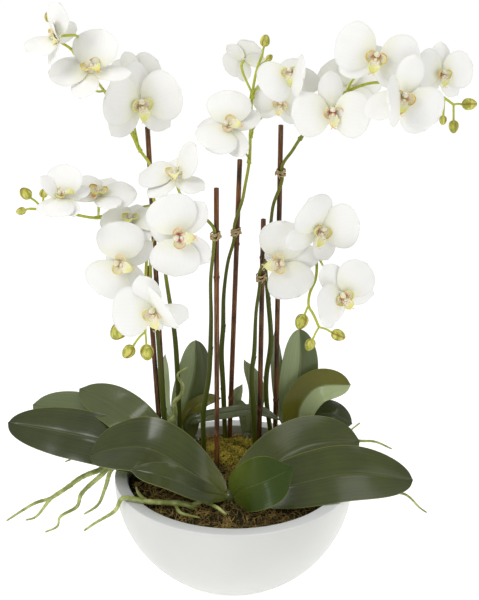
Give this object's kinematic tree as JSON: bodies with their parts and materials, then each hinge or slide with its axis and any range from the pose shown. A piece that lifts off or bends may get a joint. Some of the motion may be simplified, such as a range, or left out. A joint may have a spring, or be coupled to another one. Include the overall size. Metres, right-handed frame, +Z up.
{
  "type": "potted orchid",
  "caption": "Arrangement of tall moth orchid spikes with open blooms, tied to cane stakes over broad leaves in a round bowl.",
  "frame": {"origin": "centre of the flat foot of the bowl, at its resting plane", "axes": "+Z up along the axis of the bowl; the front of the arrangement faces -Y; +X to the right of a viewer in front"},
  "size_m": [0.543, 0.28, 0.6939],
  "materials": {
    "ceramic": "satin white glaze",
    "coir": "loose dark brown coir fibre",
    "moss": "dry olive moss",
    "cane": "stained cane, reddish brown",
    "raffia": "dry raffia, tan",
    "stem": "smooth green stem",
    "petal": "soft white petal",
    "leaf": "waxy dark green leaf",
    "root": "pale green aerial root"
  },
  "bodies": {
    "root": {"bowl": "ceramic", "soil": "coir", "moss": "moss", "stake_left_front": "cane", "stake_left_back": "cane", "stake_middle": "cane", "stake_back": "cane", "stake_right_back": "cane", "stake_right_front": "cane", "tie_left_front": "raffia", "tie_left_back": "raffia", "tie_middle": "raffia", "tie_back": "raffia", "tie_right_back": "raffia", "tie_right_front": "raffia", "spike_1": "stem", "spike_2": "stem", "spike_3": "stem", "spike_4": "stem", "spike_5": "stem", "spike_6": "stem", "bloom_1a": "petal", "bloom_1b": "petal", "bloom_1c": "petal", "bloom_1d": "petal", "bloom_2a": "petal", "bloom_2b": "petal", "bloom_2c": "petal", "bloom_3b": "petal", "bloom_2d": "petal", "bloom_2e": "petal", "bloom_3a": "petal", "bloom_4a": "petal", "bloom_4b": "petal", "bloom_4c": "petal", "bloom_4d": "petal", "bloom_5a": "petal", "bloom_5b": "petal", "bloom_5c": "petal", "bloom_5d": "petal", "bloom_5e": "petal", "bloom_6a": "petal", "bloom_6b": "petal", "bloom_6c": "petal", "plant_front": "leaf", "plant_left": "leaf", "plant_back_left": "leaf", "plant_back": "leaf", "plant_back_right": "leaf", "roots_left": "root", "roots_front": "root", "root_upright": "root", "roots_right": "root", "root_right_front": "root"}
  },
  "joints": []
}
